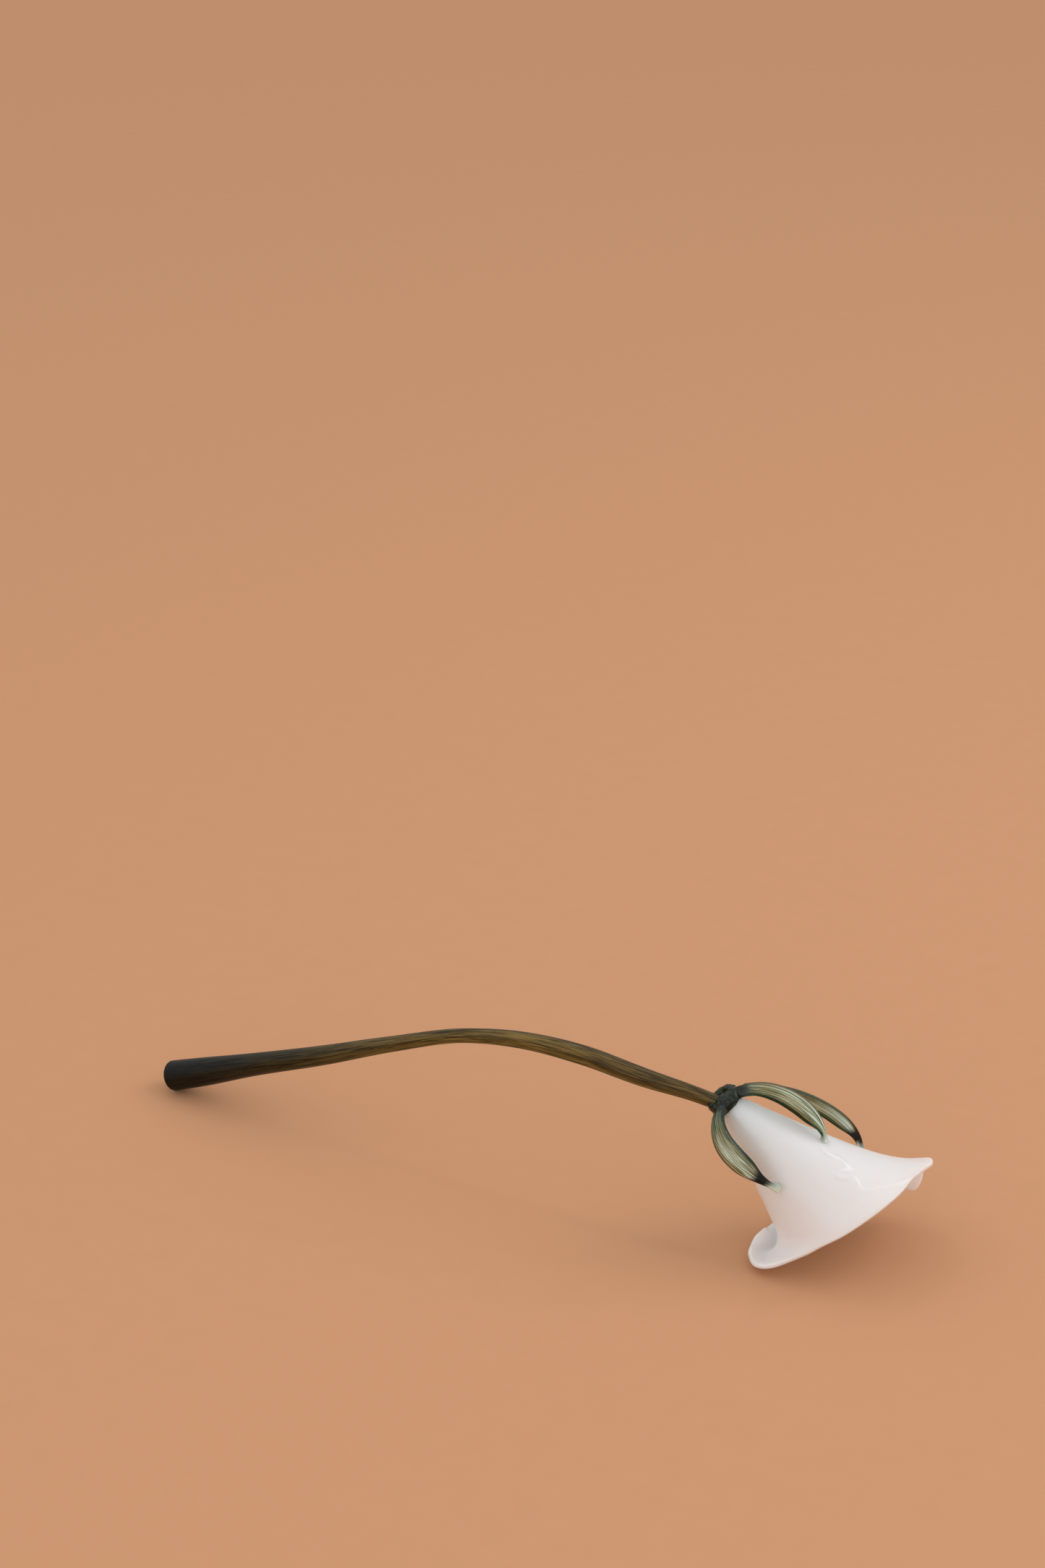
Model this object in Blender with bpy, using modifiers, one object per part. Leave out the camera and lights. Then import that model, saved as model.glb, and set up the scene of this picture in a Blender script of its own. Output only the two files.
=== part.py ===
"""A long-stemmed calla lily in hot-worked glass, laid on a surface.

A ribbed olive rod bends down into a dark green collar. Four cupped sepals are drawn out of the
collar, and stand with their feet on the opal white trumpet that it holds. The flower rests on the
stem's blunt end and on two lobes of the trumpet's rolled lip. Its longest side runs along +X,
from the stem's end to the mouth, and the side that faces -Y is called the near side.
"""

import math

import bmesh
import bpy
import numpy as np
from mathutils import Euler, Matrix, Vector

# Pieces that touch on the real object stand this far apart
GAP = 0.0003
WELD_DISTANCE = 0.00001
SHARP_EDGE_ANGLE = 50

# The glasses: colour and roughness
OLIVE_GLASS = ((0.10, 0.085, 0.035), 0.08)
OPAL_GLASS = ((0.80, 0.74, 0.70), 0.25)
GREEN_GLASS = ((0.04, 0.09, 0.05), 0.05)

# The stem: where its middle runs above the surface, and how thick it is there, as (x, z, radius)
STEM_ROUTE = [
    (-0.0035, 0.0085, 0.0088),
    (0.018, 0.0165, 0.0083),
    (0.050, 0.0290, 0.0067),
    (0.100, 0.0480, 0.0056),
    (0.147, 0.0672, 0.0044),
    (0.190, 0.0828, 0.0040),
    (0.225, 0.0890, 0.0046),
    (0.262, 0.0894, 0.0053),
    (0.300, 0.0850, 0.0050),
    (0.328, 0.0830, 0.0041),
    (0.350, 0.0800, 0.0038),
]
STEM_RIBS = 10
STEM_RIB_HEIGHT = 0.00025
STEM_MEAN_RADIUS = 0.005
STEM_RINGS = 48
STEM_END_ROUNDING = 0.0018
STEM_END_RING_ANGLES = (0, 25, 50, 75)

# The flower head: where its axis leaves the stem, and how it points
NECK_PLACE = (0.347, 0.0, 0.0827)
HEAD_PITCH = 44
HEAD_YAW = 13
TIP_ROLL = 31.7

# The trumpet's wall, measured along it from the neck. Its angle to the axis grows from the throat
# to the mouth, and is larger on the tip's side, to which the trumpet leans.
WALL = 0.0026
NECK_RADIUS = 0.0060
NECK_DOME = 0.0022
NECK_DOME_RINGS = (33, 62)
THROAT_ANGLE = 19.7
LEAN = 1.8
FLARE_ANGLE = 19
FLARE_LENGTH = 0.100
FLARE_POWER = 5

# The mouth, going round from its tip past the near side: angle, length of the wall before the lip,
# length of the lip, how far the lip turns outwards, and how soon: 1 is an even turn, and with 2.5
# most of it comes right after the wall
MOUTH = [
    (-48, 0.093, 0.008, 0, 1.0),
    (-32, 0.099, 0.024, -75, 1.0),
    (-18, 0.104, 0.011, -15, 1.0),
    (-6, 0.105, 0.007, 5, 1.0),
    (4, 0.104, 0.008, 10, 1.0),
    (20, 0.099, 0.006, 5, 1.0),
    (57, 0.091, 0.006, 5, 1.0),
    (98, 0.084, 0.006, 5, 1.0),
    (132, 0.076, 0.010, 25, 1.0),
    (156, 0.0705, 0.017, 70, 1.0),
    (172, 0.0677, 0.0263, 115, 1.0),
    (184, 0.0703, 0.0240, 138, 1.1),
    (193, 0.0757, 0.0198, 150, 1.7),
    (203, 0.0797, 0.0172, 170, 2.5),
    (214, 0.0790, 0.0137, 165, 2.5),
    (225, 0.0765, 0.0140, 135, 1.5),
    (238, 0.0740, 0.0160, 110, 1.0),
    (266, 0.084, 0.008, 20, 1.0),
]
MOUTH_COLUMNS = 60
WALL_ROWS = 11
LIP_ROWS = 9
LIP_ROW_CROWDING = 1.4
PROFILE_STEPS = 240

# The collar, a lumpy bead of glass wound round the joint
COLLAR_RADIUS = 0.0102
COLLAR_LENGTH = 0.0105
COLLAR_SEGMENTS = 26
COLLAR_RINGS = 10
# Its lumps: their height, and the two waves that give them, as (how many go round, start in radians)
COLLAR_LUMP_HEIGHT = 0.0007
COLLAR_WAVES = ((3, 0.6), (2, 0.47))

# The sepals: angle round the axis, twist, width against the section below, and as (along the axis,
# out from it) the handle at the root, the handle at the foot and the foot
SEPALS = [
    (30, 36, 0.94, (0.002, 0.0305), (0.038, 0.0375), (0.0485, 0.0242)),
    (125, -12, 1.0, (-0.004, 0.0405), (0.024, 0.040), (0.0465, 0.0230)),
    (-22, -10, 1.1, (0.013, 0.0365), (0.064, 0.053), (0.0735, 0.0345)),
    (250, 0, 1.0, (0.002, 0.028), (0.034, 0.033), (0.047, 0.0235)),
]
SEPAL_ROOT = (-0.001, 0.006)
# A sepal's section at shares of its length: share, half its width, thickness and depth of the cup
SEPAL_SECTIONS = [
    (0.0, 0.0036, 0.0042, 0.0),
    (0.16, 0.0041, 0.0030, 0.0008),
    (0.36, 0.0054, 0.0022, 0.0024),
    (0.55, 0.0060, 0.0020, 0.0032),
    (0.71, 0.0054, 0.0021, 0.0026),
    (0.86, 0.0025, 0.0028, 0.0006),
    (0.94, 0.0017, 0.0035, 0.0),
    (1.0, 0.0026, 0.0050, 0.0),
]
# Going round a section: place across it from edge to edge, and rib's height there
SEPAL_OUTER_SIDE = [(-1.0, 0), (-0.72, 1), (-0.38, -1), (0.0, 1), (0.38, -1), (0.72, 1), (1.0, 0)]
SEPAL_INNER_SIDE = [(0.72, 0), (0.25, 0), (-0.25, 0), (-0.72, 0)]
SEPAL_RIB_HEIGHT = 0.0004
# The ribs run out where a sepal is narrower than this
SEPAL_RIBBED_HALF_WIDTH = 0.006
SEPAL_RINGS = 17


def clear_scene():
    for obj in list(bpy.data.objects):
        bpy.data.objects.remove(obj, do_unlink=True)


def make_collection(name):
    collection = bpy.data.collections.new(name)
    bpy.context.scene.collection.children.link(collection)
    return collection


def glass(name, look):
    colour, roughness = look
    material = bpy.data.materials.new(name)
    material.use_nodes = True
    shader = material.node_tree.nodes["Principled BSDF"]
    shader.inputs["Base Color"].default_value = (*colour, 1.0)
    shader.inputs["Roughness"].default_value = roughness
    shader.inputs["Metallic"].default_value = 0.0
    return material


def smooth_through(knots, values, at):
    """The values at these places of the smooth curve through the knots."""
    knots = np.asarray(knots, float)
    values = np.asarray(values, float)
    at = np.asarray(at, float)
    slopes = np.gradient(values, knots, axis=0)
    piece = np.clip(np.searchsorted(knots, at, side="right") - 1, 0, len(knots) - 2)
    span = (knots[piece + 1] - knots[piece])[:, None]
    share = (at - knots[piece])[:, None] / span
    start_weight = 2 * share**3 - 3 * share**2 + 1
    start_slope_weight = share**3 - 2 * share**2 + share
    end_slope_weight = share**3 - share**2
    return (
        start_weight * values[piece]
        + (1 - start_weight) * values[piece + 1]
        + start_slope_weight * span * slopes[piece]
        + end_slope_weight * span * slopes[piece + 1]
    )


def new_object(name, vertices, faces, collection):
    mesh = bpy.data.meshes.new(name)
    mesh.from_pydata([tuple(vertex) for vertex in vertices], [], faces)
    mesh.update()
    obj = bpy.data.objects.new(name, mesh)
    collection.objects.link(obj)
    return obj


def ring_faces(ring, following, size):
    """The faces between two rings of the same size, given by their first vertex."""
    faces = []
    for index in range(size):
        beside = (index + 1) % size
        faces.append((ring + index, ring + beside, following + beside, following + index))
    return faces


def freeze(obj):
    """Replaces an object's mesh by the one that its modifiers give."""
    graph = bpy.context.evaluated_depsgraph_get()
    obj.data = bpy.data.meshes.new_from_object(obj.evaluated_get(graph))
    obj.modifiers.clear()


def cut(obj, cutter):
    boolean = obj.modifiers.new("cut by " + cutter.name, "BOOLEAN")
    boolean.operation = "DIFFERENCE"
    boolean.object = cutter


def make_helper(obj):
    obj.hide_render = True
    obj.display_type = "WIRE"


def smooth_shade(mesh):
    mesh.shade_smooth()
    mesh.set_sharp_from_angle(angle=math.radians(SHARP_EDGE_ANGLE))


# Stem
def stem_points():
    """Points along the stem's middle, with its radius at each, and the rounding of its blunt end."""
    route = np.array(STEM_ROUTE)
    steps = np.linalg.norm(np.diff(route[:, :2], axis=0), axis=1)
    distance = np.concatenate([[0.0], np.cumsum(steps)])
    bend = np.radians(STEM_END_RING_ANGLES)
    rounding = STEM_END_ROUNDING * (1 - np.cos(bend))
    inset = STEM_END_ROUNDING * (1 - np.sin(bend))
    body = np.linspace(STEM_END_ROUNDING, distance[-1], STEM_RINGS)
    at = np.concatenate([rounding, body])
    x, z, radius = smooth_through(distance, route, at).T
    radius[: len(inset)] -= inset
    return x, z, radius


def stem_section(helpers):
    """The ribbed circle that the stem's curve carries, one unit in radius."""
    ridge = 1 + STEM_RIB_HEIGHT / STEM_MEAN_RADIUS / 2
    groove = 1 - STEM_RIB_HEIGHT / STEM_MEAN_RADIUS / 2
    curve = bpy.data.curves.new("stem_section", "CURVE")
    curve.dimensions = "2D"
    count = 2 * STEM_RIBS
    spline = curve.splines.new("POLY")
    spline.points.add(count - 1)
    spline.use_cyclic_u = True
    for index, point in enumerate(spline.points):
        angle = 2 * math.pi * index / count
        reach = ridge if index % 2 == 0 else groove
        point.co = (reach * math.cos(angle), reach * math.sin(angle), 0.0, 1.0)
    section = bpy.data.objects.new("stem_section", curve)
    helpers.objects.link(section)
    make_helper(section)
    return section


def swept_stem(name, growth, section, collection):
    """The stem as a closed mesh, thicker than the real one by this growth."""
    curve = bpy.data.curves.new(name + "_route", "CURVE")
    curve.dimensions = "3D"
    curve.bevel_mode = "OBJECT"
    curve.bevel_object = section
    curve.use_fill_caps = True
    spline = curve.splines.new("POLY")
    x, z, radius = stem_points()
    spline.points.add(len(x) - 1)
    for point, along, height, reach in zip(spline.points, x, z, radius):
        point.co = (along, 0.0, height, 1.0)
        point.radius = reach + growth
    route = bpy.data.objects.new(name + "_route", curve)
    collection.objects.link(route)
    graph = bpy.context.evaluated_depsgraph_get()
    mesh = bpy.data.meshes.new_from_object(route.evaluated_get(graph))
    bpy.data.objects.remove(route, do_unlink=True)
    solid = bmesh.new()
    solid.from_mesh(mesh)
    bmesh.ops.remove_doubles(solid, verts=solid.verts, dist=WELD_DISTANCE)
    bmesh.ops.recalc_face_normals(solid, faces=solid.faces)
    solid.to_mesh(mesh)
    solid.free()
    obj = bpy.data.objects.new(name, mesh)
    collection.objects.link(obj)
    return obj


# Bloom
def mouth_at(angle):
    """Length of the wall before the lip, length of the lip, its turn and its haste, at this angle."""
    table = np.array(MOUTH)
    knots = np.concatenate([table[:, 0] - 360, table[:, 0], table[:, 0] + 360])
    values = np.tile(table[:, 1:], (3, 1))
    return smooth_through(knots, values, [angle])[0]


def wall_profile(angle):
    """The wall's outer side at this angle round the mouth, as rows of (along, out) from the neck."""
    wall, lip, turn, haste = mouth_at(angle)
    distance = np.linspace(0, wall + lip, PROFILE_STEPS)
    flare = FLARE_ANGLE * (np.minimum(distance, wall) / FLARE_LENGTH) ** FLARE_POWER
    bend = 1 - (1 - np.clip((distance - wall) / lip, 0, 1)) ** haste
    throat = THROAT_ANGLE + LEAN * math.cos(math.radians(angle))
    heading = np.radians(throat + flare + turn * bend)
    step = distance[1]
    along = np.concatenate([[0.0], np.cumsum(np.cos(heading[:-1]) * step)])
    out = NECK_RADIUS + np.concatenate([[0.0], np.cumsum(np.sin(heading[:-1]) * step)])
    lip_rows = np.linspace(0, 1, LIP_ROWS + 1)[1:] ** LIP_ROW_CROWDING
    rows = np.concatenate([np.linspace(0, wall, WALL_ROWS + 1), wall + lip * lip_rows])
    return np.interp(rows, distance, along), np.interp(rows, distance, out)


def trumpet(name, rows, collection):
    """The trumpet's outer side from the neck's rounded end, with this many rows below it.

    Its own axis is +Z, with the neck at the origin, and its tip is towards +X.
    """
    columns = np.arange(MOUTH_COLUMNS) * 360 / MOUTH_COLUMNS
    profiles = [wall_profile(angle) for angle in columns]
    rings = [
        [(NECK_RADIUS * math.sin(bend), -NECK_DOME * math.cos(bend))] * MOUTH_COLUMNS
        for bend in np.radians(NECK_DOME_RINGS)
    ]
    for row in range(rows):
        rings.append([(out[row], along[row]) for along, out in profiles])
    vertices = [(0.0, 0.0, -NECK_DOME)]
    for ring in rings:
        for angle, (out, along) in zip(np.radians(columns), ring):
            vertices.append((out * math.cos(angle), out * math.sin(angle), along))
    faces = []
    for column in range(MOUTH_COLUMNS):
        faces.append((0, 1 + (column + 1) % MOUTH_COLUMNS, 1 + column))
    for ring in range(len(rings) - 1):
        first = 1 + ring * MOUTH_COLUMNS
        faces += ring_faces(first, first + MOUTH_COLUMNS, MOUTH_COLUMNS)
    return new_object(name, vertices, faces, collection)


def bloom(collection):
    """The trumpet as a shell, its wall growing inwards."""
    obj = trumpet("bloom", WALL_ROWS + LIP_ROWS + 1, collection)
    wall = obj.modifiers.new("wall", "SOLIDIFY")
    wall.thickness = WALL
    wall.offset = -1.0
    wall.use_even_offset = True
    return obj


def bloom_room(collection):
    """The room that the trumpet takes up down to its lip, filled, with the gap round it."""
    obj = trumpet("bloom_room", WALL_ROWS + 1, collection)
    solid = bmesh.new()
    solid.from_mesh(obj.data)
    open_edges = [edge for edge in solid.edges if edge.is_boundary]
    bmesh.ops.triangle_fill(solid, edges=open_edges, use_beauty=True)
    bmesh.ops.recalc_face_normals(solid, faces=solid.faces)
    solid.to_mesh(obj.data)
    solid.free()
    growth = obj.modifiers.new("gap", "DISPLACE")
    growth.strength = GAP
    growth.mid_level = 0.0
    make_helper(obj)
    return obj


# Calyx
def collar(collection):
    """A bead round the joint, a little lumpy."""
    bpy.ops.mesh.primitive_uv_sphere_add(segments=COLLAR_SEGMENTS, ring_count=COLLAR_RINGS, radius=1.0)
    obj = bpy.context.object
    obj.name = "calyx"
    for vertex in obj.data.vertices:
        x, y, z = vertex.co
        turn = math.atan2(y, x)
        lump = math.prod(math.sin(count * turn + start) for count, start in COLLAR_WAVES)
        reach = COLLAR_RADIUS + COLLAR_LUMP_HEIGHT * lump
        vertex.co = (reach * x, reach * y, COLLAR_LENGTH / 2 * z)
    bpy.context.collection.objects.unlink(obj)
    collection.objects.link(obj)
    return obj


def sepal_middle(angle, twist, root_handle, foot_handle, foot, share):
    """Places along a sepal's middle, and the directions outwards and across it there."""
    points = [np.array(point) for point in (SEPAL_ROOT, root_handle, foot_handle, foot)]
    weights = [
        (1 - share) ** 3,
        3 * share * (1 - share) ** 2,
        3 * share**2 * (1 - share),
        share**3,
    ]
    path = sum(weight[:, None] * point for weight, point in zip(weights, points))
    course = np.gradient(path, share, axis=0)
    course /= np.linalg.norm(course, axis=1)[:, None]
    turn = math.radians(angle)
    outwards = np.array([math.cos(turn), math.sin(turn), 0.0])
    across = np.array([-math.sin(turn), math.cos(turn), 0.0])
    axis = np.array([0.0, 0.0, 1.0])
    middle = path[:, :1] * axis + path[:, 1:] * outwards
    normal = course[:, :1] * outwards - course[:, 1:] * axis
    twist = math.radians(twist)
    twisted_normal = normal * math.cos(twist) + across * math.sin(twist)
    twisted_across = across * math.cos(twist) - normal * math.sin(twist)
    return middle, twisted_normal, twisted_across


def sepal(number, shape, collection):
    """One strap: a flattened, cupped, ribbed rod between its root and its foot."""
    share = np.linspace(0, 1, SEPAL_RINGS)
    angle, twist, widening, root_handle, foot_handle, foot = shape
    middle, normal, across = sepal_middle(angle, twist, root_handle, foot_handle, foot, share)
    table = np.array(SEPAL_SECTIONS)
    half_width, thickness, cup = smooth_through(table[:, 0], table[:, 1:], share).T
    half_width *= widening
    size = len(SEPAL_OUTER_SIDE) + len(SEPAL_INNER_SIDE)
    ribbed = np.minimum(1.0, half_width / SEPAL_RIBBED_HALF_WIDTH) * np.sin(np.pi * share)
    vertices = []
    for ring in range(SEPAL_RINGS):
        rib = SEPAL_RIB_HEIGHT * ribbed[ring]
        for side, places in ((1, SEPAL_OUTER_SIDE), (-1, SEPAL_INNER_SIDE)):
            for place, ridge in places:
                height = side * thickness[ring] / 2 * math.sqrt(1 - place**2)
                height += ridge * rib - cup[ring] * place**2
                offset = across[ring] * half_width[ring] * place + normal[ring] * height
                vertices.append(middle[ring] + offset)
    faces = [tuple(range(size))[::-1], tuple(range(len(vertices) - size, len(vertices)))]
    for ring in range(SEPAL_RINGS - 1):
        faces += ring_faces(ring * size, (ring + 1) * size, size)
    obj = new_object(f"sepal_{number}", vertices, faces, collection)
    solid = bmesh.new()
    solid.from_mesh(obj.data)
    bmesh.ops.recalc_face_normals(solid, faces=solid.faces)
    solid.to_mesh(obj.data)
    solid.free()
    return obj


def join_to(obj, pieces):
    """Joins a collection's objects to this one, and removes them."""
    union = obj.modifiers.new("union", "BOOLEAN")
    union.operation = "UNION"
    union.operand_type = "COLLECTION"
    union.collection = pieces
    freeze(obj)
    for piece in list(pieces.objects):
        bpy.data.objects.remove(piece, do_unlink=True)
    bpy.data.collections.remove(pieces)


def calyx(collection):
    obj = collar(collection)
    pieces = make_collection("sepals")
    for number, shape in enumerate(SEPALS):
        sepal(number, shape, pieces)
    join_to(obj, pieces)
    return obj


# Placing
def head_rotation():
    """Turns +Z to the flower's axis, +X to its tip and +Y to its near side."""
    pitch = math.radians(HEAD_PITCH)
    yaw = math.radians(HEAD_YAW)
    axis = Vector((math.cos(pitch) * math.cos(yaw), math.cos(pitch) * math.sin(yaw), -math.sin(pitch)))
    top = (Vector((0, 0, 1)) - axis * axis.z).normalized()
    tip = Matrix.Rotation(math.radians(-TIP_ROLL), 3, axis) @ top
    near = axis.cross(tip)
    return Matrix((tip, near, axis)).transposed().to_euler()


def empty(name, location, rotation, parent, collection):
    obj = bpy.data.objects.new(name, None)
    collection.objects.link(obj)
    obj.location = location
    obj.rotation_euler = rotation
    obj.parent = parent
    return obj


def centre_on_surface(root, parts):
    """Moves everything so that the middle of the underside of its box is at the origin."""
    bpy.context.view_layer.update()
    graph = bpy.context.evaluated_depsgraph_get()
    corners = []
    for part in parts:
        solid = part.evaluated_get(graph)
        corners += [solid.matrix_world @ vertex.co for vertex in solid.data.vertices]
    places = np.array(corners)
    low = places.min(axis=0)
    high = places.max(axis=0)
    root.location = (-(low[0] + high[0]) / 2, -(low[1] + high[1]) / 2, -low[2])


def main():
    clear_scene()
    parts = make_collection("glass_calla_lily")
    helpers = make_collection("cutters")
    helpers.hide_render = True
    root = empty("lily", (0, 0, 0), Euler(), None, parts)
    head = empty("head", NECK_PLACE, head_rotation(), root, parts)

    section = stem_section(helpers)
    stem = swept_stem("stem", 0.0, section, parts)
    stem_space = swept_stem("stem_room", GAP, section, helpers)
    make_helper(stem_space)
    white = bloom(parts)
    white_space = bloom_room(helpers)
    green = calyx(parts)
    for obj in (white, white_space, green):
        obj.parent = head
    for obj in (stem, stem_space):
        obj.parent = root
    bpy.context.view_layer.update()
    cut(stem, white_space)
    cut(green, white_space)
    cut(green, stem_space)

    stem.data.materials.append(glass("olive_glass", OLIVE_GLASS))
    white.data.materials.append(glass("opal_glass", OPAL_GLASS))
    green.data.materials.append(glass("green_glass", GREEN_GLASS))
    for obj in (stem, white, green):
        smooth_shade(obj.data)
    centre_on_surface(root, (stem, white, green))


main()
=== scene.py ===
# %% [markdown]
# # A calla lily in hot-worked glass
# The real flower is three pieces of glass fused in the flame: a ribbed olive rod for the stem, an opal
# white trumpet for the bloom, and a dark green calyx whose four sepals arch over the trumpet and stand
# on it. It lies on a table, on the stem's blunt end and on two lobes of the trumpet's rolled lip.
#
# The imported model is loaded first, as a fixed frame. It says where everything is, so each fine piece
# below is built in its place and never fitted by eye.

# %% The fixed frame
import math

import bpy
import numpy as np
from mathutils import Matrix, Vector, noise
from mathutils.kdtree import KDTree


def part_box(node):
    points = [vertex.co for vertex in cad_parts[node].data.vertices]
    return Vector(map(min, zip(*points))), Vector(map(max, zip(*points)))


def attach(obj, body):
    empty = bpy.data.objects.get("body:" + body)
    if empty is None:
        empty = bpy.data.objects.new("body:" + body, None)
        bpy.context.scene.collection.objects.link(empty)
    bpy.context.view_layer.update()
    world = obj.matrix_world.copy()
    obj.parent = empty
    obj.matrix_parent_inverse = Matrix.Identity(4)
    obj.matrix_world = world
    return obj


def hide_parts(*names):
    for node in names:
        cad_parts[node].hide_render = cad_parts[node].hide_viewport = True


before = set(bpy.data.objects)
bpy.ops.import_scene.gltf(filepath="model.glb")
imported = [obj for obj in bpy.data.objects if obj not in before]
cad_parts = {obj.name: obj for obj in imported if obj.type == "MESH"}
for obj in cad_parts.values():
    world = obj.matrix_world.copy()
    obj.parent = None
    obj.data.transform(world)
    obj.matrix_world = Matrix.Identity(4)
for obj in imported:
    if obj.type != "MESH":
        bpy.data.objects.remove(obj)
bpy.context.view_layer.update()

print("nodes:", sorted(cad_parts))

# %% [markdown]
# ## Working as by hand
# Operators act on whatever is selected, and loading has left the frame's nodes selected. So every
# step starts by clearing the selection, and two small helpers keep edit mode tidy: one goes in with
# chosen vertices selected, the other comes out. A modifier is always applied at once, as its Apply
# button would do.

# %% Selecting, editing and applying
def pick_only(piece):
    bpy.ops.object.select_all(action="DESELECT")
    piece.select_set(True)
    bpy.context.view_layer.objects.active = piece


def enter_edit(piece, chosen=None):
    """Goes into edit mode with these vertices selected, or with all of them."""
    pick_only(piece)
    bpy.ops.object.mode_set(mode="EDIT")
    bpy.ops.mesh.select_mode(type="VERT")
    bpy.ops.mesh.select_all(action="SELECT" if chosen is None else "DESELECT")
    if chosen is None:
        return
    bpy.ops.object.mode_set(mode="OBJECT")
    for index in chosen:
        piece.data.vertices[int(index)].select = True
    bpy.ops.object.mode_set(mode="EDIT")


def leave_edit():
    bpy.ops.object.mode_set(mode="OBJECT")


def apply_modifier(piece, name, kind, **settings):
    modifier = piece.modifiers.new(name, kind)
    for setting, value in settings.items():
        setattr(modifier, setting, value)
    pick_only(piece)
    bpy.ops.object.modifier_apply(modifier=name)


def smooth_subdivide(piece, levels):
    """Subdivides without the limit surface, which takes very long round a pole of many edges."""
    apply_modifier(piece, "fine", "SUBSURF", levels=levels, render_levels=levels, use_limit_surface=False)


def point_faces_out(piece):
    enter_edit(piece)
    bpy.ops.mesh.normals_make_consistent(inside=False)
    leave_edit()


# Faces that meet more sharply than this keep a hard edge, in degrees
SHARP_ANGLE = 60


def finish_surface(piece, sharp_angle=SHARP_ANGLE):
    pick_only(piece)
    bpy.ops.object.shade_smooth_by_angle(angle=math.radians(sharp_angle))
    print(piece.name, "has", len(piece.data.polygons), "faces")


# %% [markdown]
# ## Smooth curves through a few points
# A glass worker's lines have no corners. Each outline here is given by a handful of knots, and a cubic
# curve runs through them with the slope that its neighbours suggest. A Bezier curve drawn by hand
# would look the same, but a formula can be asked for its value anywhere, which the rings and columns
# below need.

# %% The curve through knots
def smooth_through(knots, values, at):
    """The values at these places of the smooth curve through the knots."""
    knots = np.asarray(knots, float)
    values = np.asarray(values, float)
    at = np.asarray(at, float)
    slopes = np.gradient(values, knots, axis=0)
    piece = np.clip(np.searchsorted(knots, at, side="right") - 1, 0, len(knots) - 2)
    span = (knots[piece + 1] - knots[piece])[:, None]
    share = (at - knots[piece])[:, None] / span
    start_weight = 2 * share**3 - 3 * share**2 + 1
    start_slope_weight = share**3 - 2 * share**2 + share
    end_slope_weight = share**3 - share**2
    return (
        start_weight * values[piece]
        + (1 - start_weight) * values[piece + 1]
        + start_slope_weight * span * slopes[piece]
        + end_slope_weight * span * slopes[piece + 1]
    )


# %% [markdown]
# ## The stem: a drawn rod
# A glass rod is drawn from a hot, reeded gather, so its ribs run along it without a break, and it is
# thick where it left the gather and thin in the middle. The way to model that is the way it is made:
# a ribbed circle is pulled along the route, ring after ring, and each new ring is turned to the
# route and scaled to the rod's thickness there. With no window, transform.rotate turns the other
# way, so the angle goes in with its sign changed, and its centre is given.

# %% Where the stem runs
# How far along the table from the blunt end, the height of the rod's middle and its radius
STEM_ROUTE = [
    (-0.0035, 0.0085, 0.0088),
    (0.018, 0.0165, 0.0083),
    (0.050, 0.0290, 0.0067),
    (0.100, 0.0480, 0.0056),
    (0.147, 0.0672, 0.0044),
    (0.190, 0.0828, 0.0040),
    (0.225, 0.0890, 0.0046),
    (0.262, 0.0894, 0.0053),
    (0.300, 0.0850, 0.0050),
    (0.328, 0.0830, 0.0041),
    (0.350, 0.0800, 0.0038),
]
STEM_RINGS = 110
STEM_RIBS = 18
# Height of a rib, as a share of the rod's radius
STEM_RIB_SHARE = 0.008
COLUMNS_PER_RIB = 4
STEM_COLUMNS = STEM_RIBS * COLUMNS_PER_RIB
# Which of a rib's columns stand out, and by what share of its height
RIB_SHAPE = ((0, 1.0), (1, 0.5), (COLUMNS_PER_RIB - 1, 0.5))
END_ROUNDING = 0.0018
END_RING_ANGLES = (0, 20, 40, 60, 80)
NECK_CLEARANCE = 0.002
# How far each closing ring bulges, and how wide each one is against the last open ring
BLUNT_END = (0.0002, (0.75, 0.45, 0.2))
NECK_END = (0.0001, (0.6, 0.2))


def stem_stations():
    """Places along the stem's middle, the radius at each and the distance from the blunt end."""
    route = np.array(STEM_ROUTE)
    steps = np.linalg.norm(np.diff(route[:, :2], axis=0), axis=1)
    knots = np.concatenate([[0.0], np.cumsum(steps)])
    bend = np.radians(END_RING_ANGLES)
    body = np.linspace(END_ROUNDING, knots[-1] - NECK_CLEARANCE, STEM_RINGS)
    distance = np.concatenate([END_ROUNDING * (1 - np.cos(bend)), body])
    x, z, radius = smooth_through(knots, route, distance).T
    radius[: len(bend)] -= END_ROUNDING * (1 - np.sin(bend))
    return x, z, radius, distance


# %% The stem is pulled ring by ring
def close_end(piece, ring, middle, inwards, bulge, radius_shares):
    """Closes an end with smaller and smaller rings, each a little further out, and a point."""
    enter_edit(piece, ring)
    last = 1.0
    for share in radius_shares:
        bpy.ops.mesh.extrude_region_move(TRANSFORM_OT_translate={"value": inwards * -bulge})
        middle = middle - inwards * bulge
        bpy.ops.transform.resize(value=(share / last,) * 3, center_override=middle)
        last = share
    bpy.ops.mesh.extrude_region_move(TRANSFORM_OT_translate={"value": inwards * -bulge / 2})
    bpy.ops.mesh.merge(type="CENTER")
    leave_edit()


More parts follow.
